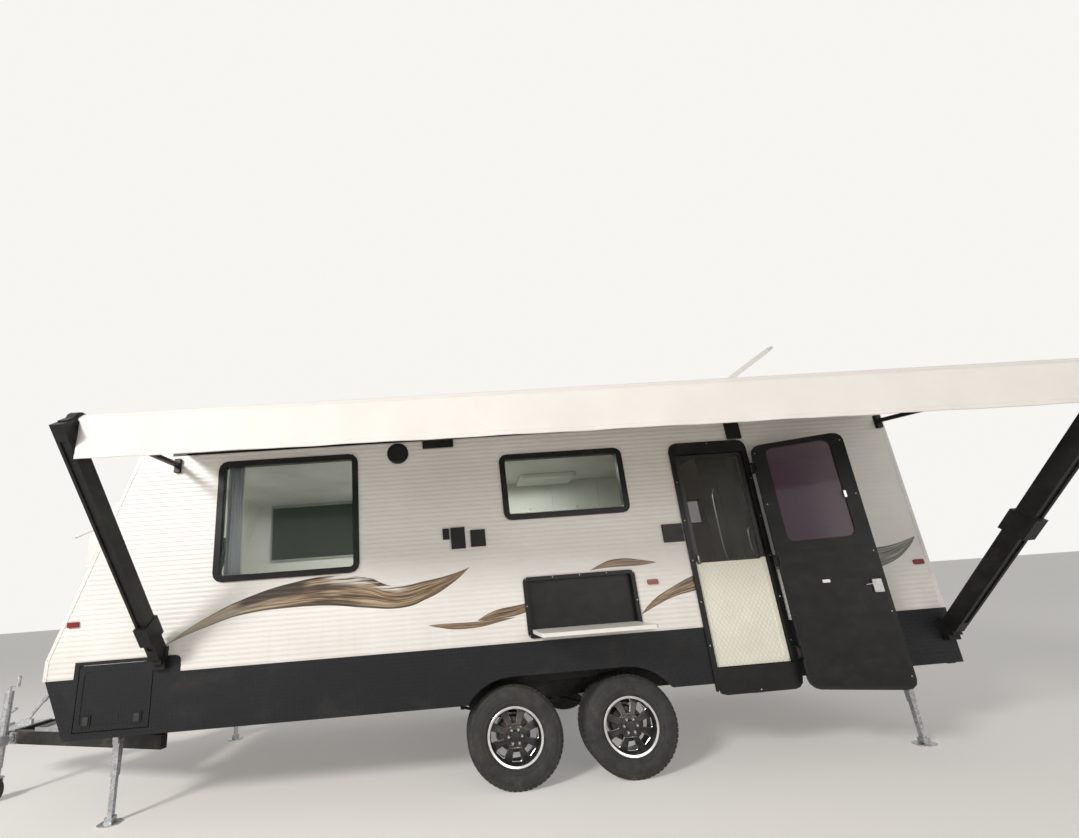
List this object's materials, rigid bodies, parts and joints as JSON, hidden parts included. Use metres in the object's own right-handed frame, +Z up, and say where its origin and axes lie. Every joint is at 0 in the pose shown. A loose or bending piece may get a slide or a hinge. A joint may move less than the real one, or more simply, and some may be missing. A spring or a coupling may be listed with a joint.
{
  "type": "travel caravan",
  "caption": "Tandem-axle travel caravan with ribbed white walls, a black skirt, a side awning, an open entry door, a fold-down table and a drawbar with a jockey wheel.",
  "frame": {"origin": "centre of the tow ball in the coupling at the drawbar's nose", "axes": "+X runs rearwards along the caravan, -Y is the entry-door side, +Z is up"},
  "size_m": [8.2069, 3.8048, 3.3451],
  "materials": {
    "cladding_white": "ribbed and painted, satin",
    "roof_white": "smooth sheet, satin",
    "checker_black": "black checker plate",
    "chassis_black": "black chassis paint",
    "frame_black": "black satin",
    "galvanised": "galvanised",
    "window_glass": "tinted acrylic",
    "leaf_glass": "purple tint",
    "screen_cream": "cream diamond panel and dark mesh",
    "table_white": "white laminate",
    "awning_fabric": "coated white fabric",
    "arm_black": "black powder coat",
    "tyre_rubber": "worn black rubber",
    "wheel_silver": "silver paint",
    "hitch_steel": "zinc",
    "tray_plate": "checker plate",
    "bottle_grey": "grey enamel",
    "mesh_dark": "woven insect mesh",
    "lamp_red": "red lens",
    "white_plastic": "moulded",
    "jockey_rubber": "solid rubber",
    "cabinet_white": "white laminated board",
    "floor_board": "vinyl-faced board",
    "upholstery": "woven",
    "mattress_cloth": "quilted cloth"
  },
  "bodies": {
    "caravan": {"awning_arms": "arm_black", "awning_canopy": "awning_fabric", "awning_rail_and_rafters": "arm_black", "awning_roller": "awning_fabric", "awning_valance": "awning_fabric", "axles": "galvanised", "bed_base": "cabinet_white", "chassis_frame": "chassis_black", "dinette": "upholstery", "door_frame": "frame_black", "drawbar_rails": "chassis_black", "drawbar_tray": "tray_plate", "floor_panel": "floor_board", "furniture": "cabinet_white", "gas_bottles": "bottle_grey", "leaf_springs": "chassis_black", "mattress": "mattress_cloth", "rear_bumper": "chassis_black", "roof_fittings": "white_plastic", "roof_panel": "roof_white", "skirt_door_side": "checker_black", "skirt_ends": "checker_black", "skirt_off_side": "checker_black", "stand_brackets": "galvanised", "table_frame": "frame_black", "tail_lamps": "lamp_red", "tow_coupling": "hitch_steel", "wall_door_side": "cladding_white", "wall_fittings": "frame_black", "wall_front": "cladding_white", "wall_off_side": "cladding_white", "wall_rear": "cladding_white", "wheel_wells": "chassis_black", "window_frames": "frame_black", "window_panes": "window_glass"},
    "wheel_front_door": {"tyre_front_door": "tyre_rubber", "rim_front_door": "wheel_silver"},
    "wheel_front_off": {"tyre_front_off": "tyre_rubber", "rim_front_off": "wheel_silver"},
    "wheel_rear_door": {"tyre_rear_door": "tyre_rubber", "rim_rear_door": "wheel_silver"},
    "wheel_rear_off": {"tyre_rear_off": "tyre_rubber", "rim_rear_off": "wheel_silver"},
    "steady_front_door": {"steady_front_door": "galvanised"},
    "steady_front_off": {"steady_front_off": "galvanised"},
    "steady_rear_door": {"steady_rear_door": "galvanised"},
    "steady_rear_off": {"steady_rear_off": "galvanised"},
    "door_leaf": {"door_leaf": "frame_black", "door_leaf_pane": "leaf_glass"},
    "screen_door": {"screen_door": "screen_cream", "screen_mesh": "mesh_dark"},
    "table_flap": {"table_flap": "table_white"},
    "boot_door_door_side": {"boot_door_door_side": "checker_black"},
    "boot_door_off_side": {"boot_door_off_side": "checker_black"},
    "stone_guard": {"stone_guard": "white_plastic"},
    "roof_hatch_lid": {"roof_hatch_lid": "white_plastic"},
    "antenna_arm": {"antenna_arm": "white_plastic"},
    "jockey_tube": {"jockey_tube": "galvanised"},
    "jockey_fork": {"jockey_fork": "galvanised"},
    "jockey_wheel": {"jockey_wheel": "jockey_rubber"}
  },
  "joints": [
    {"name": "wheel_front_door_spin", "type": "hinge", "parent": "caravan", "child": "wheel_front_door", "pos_m": [4.73, -1.0205, -0.105], "axis": [0, 1, 0], "continuous": true},
    {"name": "wheel_front_off_spin", "type": "hinge", "parent": "caravan", "child": "wheel_front_off", "pos_m": [4.73, 1.0205, -0.105], "axis": [0, 1, 0], "continuous": true},
    {"name": "wheel_rear_door_spin", "type": "hinge", "parent": "caravan", "child": "wheel_rear_door", "pos_m": [5.57, -1.0205, -0.105], "axis": [0, 1, 0], "continuous": true},
    {"name": "wheel_rear_off_spin", "type": "hinge", "parent": "caravan", "child": "wheel_rear_off", "pos_m": [5.57, 1.0205, -0.105], "axis": [0, 1, 0], "continuous": true},
    {"name": "steady_front_door_fold", "type": "hinge", "parent": "caravan", "child": "steady_front_door", "pos_m": [1.87, -0.954, 0.074], "axis": [0, -1, 0], "range_deg": [0, 90]},
    {"name": "steady_front_off_fold", "type": "hinge", "parent": "caravan", "child": "steady_front_off", "pos_m": [1.87, 0.954, 0.074], "axis": [0, -1, 0], "range_deg": [0, 90]},
    {"name": "steady_rear_door_fold", "type": "hinge", "parent": "caravan", "child": "steady_rear_door", "pos_m": [7.831, -0.954, 0.074], "axis": [0, 1, 0], "range_deg": [0, 90]},
    {"name": "steady_rear_off_fold", "type": "hinge", "parent": "caravan", "child": "steady_rear_off", "pos_m": [7.831, 0.954, 0.074], "axis": [0, 1, 0], "range_deg": [0, 90]},
    {"name": "door_leaf_swing", "type": "hinge", "parent": "caravan", "child": "door_leaf", "pos_m": [6.842, -1.222, 0.975], "axis": [0, 0, 1], "range_deg": [-155, 20]},
    {"name": "screen_door_swing", "type": "hinge", "parent": "caravan", "child": "screen_door", "pos_m": [6.801, -1.162, 1.05], "axis": [0, 0, 1], "range_deg": [0, 95]},
    {"name": "table_fold", "type": "hinge", "parent": "caravan", "child": "table_flap", "pos_m": [5.317, -1.17, 0.593], "axis": [1, 0, 0], "range_deg": [-90, 0]},
    {"name": "boot_door_door_side_lift", "type": "hinge", "parent": "caravan", "child": "boot_door_door_side", "pos_m": [1.951, -1.168, 0.603], "axis": [-1, 0, 0], "range_deg": [0, 90]},
    {"name": "boot_door_off_side_lift", "type": "hinge", "parent": "caravan", "child": "boot_door_off_side", "pos_m": [1.951, 1.168, 0.603], "axis": [1, 0, 0], "range_deg": [0, 90]},
    {"name": "stone_guard_lift", "type": "hinge", "parent": "caravan", "child": "stone_guard", "pos_m": [1.80623, 0, 1.81758], "axis": [0, 1, 0], "range_deg": [0, 70]},
    {"name": "roof_hatch_lift", "type": "hinge", "parent": "caravan", "child": "roof_hatch_lid", "pos_m": [4.592, 0, 2.296], "axis": [0, 1, 0], "range_deg": [0, 60]},
    {"name": "antenna_lift", "type": "hinge", "parent": "caravan", "child": "antenna_arm", "pos_m": [6.508, -0.97, 2.302], "axis": [0, -1, 0], "range_deg": [-32, 45]},
    {"name": "jockey_swing", "type": "hinge", "parent": "caravan", "child": "jockey_tube", "pos_m": [0.47, -0.298, 0], "axis": [0.3537, 0.9354, 0], "range_deg": [0, 90]},
    {"name": "jockey_swivel", "type": "hinge", "parent": "jockey_tube", "child": "jockey_fork", "pos_m": [0.47, -0.298, -0.2], "axis": [0, 0, 1], "continuous": true},
    {"name": "jockey_spin", "type": "hinge", "parent": "jockey_fork", "child": "jockey_wheel", "pos_m": [0.47, -0.298, -0.37], "axis": [0.3537, 0.9354, 0], "continuous": true}
  ]
}
